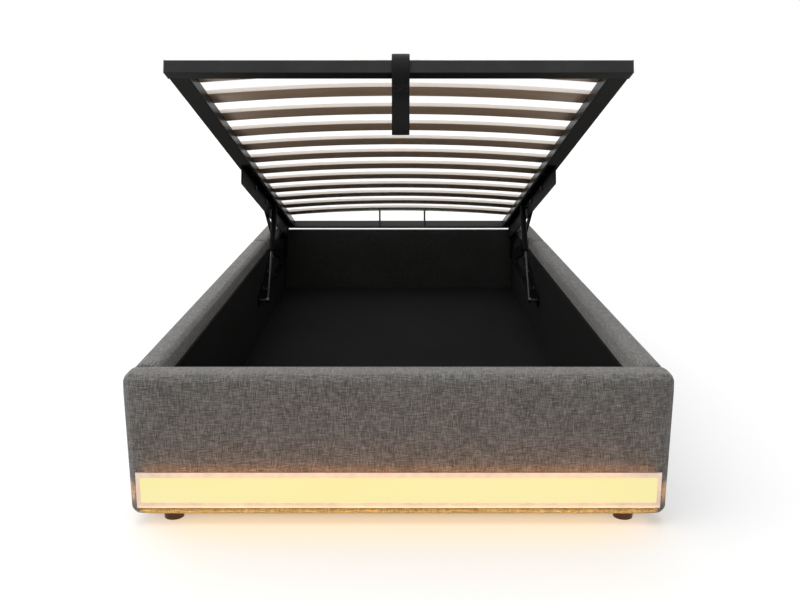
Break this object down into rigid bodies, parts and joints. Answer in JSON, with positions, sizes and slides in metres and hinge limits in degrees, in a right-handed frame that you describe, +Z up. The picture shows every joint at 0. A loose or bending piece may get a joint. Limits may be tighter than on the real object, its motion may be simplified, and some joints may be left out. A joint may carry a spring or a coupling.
{
  "type": "storage bed base",
  "caption": "Upholstered storage bed base whose slatted lift frame tips up on links and gas springs, with a light panel in the footboard and a black lined storage space.",
  "frame": {"origin": "on the floor, under the middle of the box", "axes": "+X right seen from the foot end, +Y from the foot end to the head end, +Z up"},
  "size_m": [1, 2.13, 0.8647],
  "materials": {
    "upholstery": "grey linen weave",
    "board": "raw particle board",
    "liner_black": "black non-woven lining",
    "slat_wood": "bent birch ply",
    "frame_black": "black powder coat",
    "zinc_steel": "zinc plated",
    "rod_chrome": "polished rod",
    "plastic_black": "moulded",
    "plastic_brown": "moulded",
    "bezel": "satin",
    "diffuser": "opal",
    "strip": "light strip",
    "webbing": "woven polypropylene webbing"
  },
  "bodies": {
    "base": {"corner_brackets": "zinc_steel", "feet": "plastic_brown", "floor_bearers": "board", "floor_panel_front": "liner_black", "floor_panel_rear": "liner_black", "footboard_board": "board", "footboard_cover": "upholstery", "footboard_liner": "liner_black", "frame_bolts": "zinc_steel", "head_liner": "liner_black", "head_panel_board": "board", "head_panel_cover": "upholstery", "left_fixed_plate": "frame_black", "left_liner": "liner_black", "left_rail_board_front": "board", "left_rail_board_rear": "board", "left_rail_cover_front": "upholstery", "left_rail_cover_rear": "upholstery", "light_bezel": "bezel", "light_diffuser": "diffuser", "light_strip": "strip", "plate_pins_and_bolts": "zinc_steel", "right_fixed_plate": "frame_black", "right_liner": "liner_black", "right_rail_board_front": "board", "right_rail_board_rear": "board", "right_rail_cover_front": "upholstery", "right_rail_cover_rear": "upholstery"},
    "lift_frame": {"front_tube": "frame_black", "rear_tube": "frame_black", "left_side_tube": "frame_black", "right_side_tube": "frame_black", "tube_end_caps": "plastic_black", "slat_holders": "plastic_black", "retainer_hoop": "frame_black", "left_upper_plate": "frame_black", "right_upper_plate": "frame_black", "upper_plate_bolts": "zinc_steel", "slat_01": "slat_wood", "slat_02": "slat_wood", "slat_03": "slat_wood", "slat_04": "slat_wood", "slat_05": "slat_wood", "slat_06": "slat_wood", "slat_07": "slat_wood", "slat_08": "slat_wood", "slat_09": "slat_wood", "slat_10": "slat_wood", "slat_11": "slat_wood", "slat_12": "slat_wood"},
    "pull_strap_body": {"pull_strap": "webbing"},
    "left_front_link_body": {"left_front_link": "frame_black"},
    "left_rear_link_body": {"left_rear_link": "frame_black"},
    "left_gas_rod_body": {"left_gas_rod": "rod_chrome"},
    "left_gas_cylinder_body": {"left_gas_cylinder": "frame_black"},
    "right_front_link_body": {"right_front_link": "frame_black"},
    "right_rear_link_body": {"right_rear_link": "frame_black"},
    "right_gas_rod_body": {"right_gas_rod": "rod_chrome"},
    "right_gas_cylinder_body": {"right_gas_cylinder": "frame_black"}
  },
  "joints": [
    {"name": "lift", "type": "hinge", "parent": "base", "child": "lift_frame", "pos_m": [0, 0.98202, 0.13583], "axis": [1, 0, 0], "range_deg": [0, 16.87], "stiffness_Nm_per_rad": 60, "springref_deg": -171.89},
    {"name": "left_front_link_turn", "type": "hinge", "parent": "base", "child": "left_front_link_body", "pos_m": [-0.4385, 0.652, 0.245], "axis": [1, 0, 0], "range_deg": [0, 34.12]},
    {"name": "left_rear_link_turn", "type": "hinge", "parent": "base", "child": "left_rear_link_body", "pos_m": [-0.4385, 0.976, 0.159], "axis": [1, 0, 0], "range_deg": [0, 20.78]},
    {"name": "left_gas_rod_turn", "type": "hinge", "parent": "base", "child": "left_gas_rod_body", "pos_m": [-0.417, 0.25, 0.141], "axis": [1, 0, 0], "range_deg": [-16.54, 0]},
    {"name": "left_gas_cylinder_slide", "type": "slide", "parent": "left_gas_rod_body", "child": "left_gas_cylinder_body", "axis": [0, 0.6682, 0.744], "range_m": [-0.14474, 0]},
    {"name": "right_front_link_turn", "type": "hinge", "parent": "base", "child": "right_front_link_body", "pos_m": [0.4385, 0.652, 0.245], "axis": [1, 0, 0], "range_deg": [0, 34.12]},
    {"name": "right_rear_link_turn", "type": "hinge", "parent": "base", "child": "right_rear_link_body", "pos_m": [0.4385, 0.976, 0.159], "axis": [1, 0, 0], "range_deg": [0, 20.78]},
    {"name": "right_gas_rod_turn", "type": "hinge", "parent": "base", "child": "right_gas_rod_body", "pos_m": [0.417, 0.25, 0.141], "axis": [1, 0, 0], "range_deg": [-16.54, 0]},
    {"name": "right_gas_cylinder_slide", "type": "slide", "parent": "right_gas_rod_body", "child": "right_gas_cylinder_body", "axis": [0, 0.6682, 0.744], "range_m": [-0.14474, 0]},
    {"name": "strap_swing", "type": "hinge", "parent": "lift_frame", "child": "pull_strap_body", "pos_m": [0.004, -0.83229, 0.83969], "axis": [1, 0, 0], "range_deg": [-25, 60]}
  ],
  "couplings": [
    {"joint": "left_front_link_turn", "follows": "lift", "ratio": 2.0224},
    {"joint": "left_rear_link_turn", "follows": "lift", "ratio": 1.2316},
    {"joint": "left_gas_rod_turn", "follows": "lift", "ratio": -0.9802},
    {"joint": "left_gas_cylinder_slide", "follows": "lift", "m_per_rad": -0.49159},
    {"joint": "right_front_link_turn", "follows": "lift", "ratio": 2.0224},
    {"joint": "right_rear_link_turn", "follows": "lift", "ratio": 1.2316},
    {"joint": "right_gas_rod_turn", "follows": "lift", "ratio": -0.9802},
    {"joint": "right_gas_cylinder_slide", "follows": "lift", "m_per_rad": -0.49159}
  ]
}
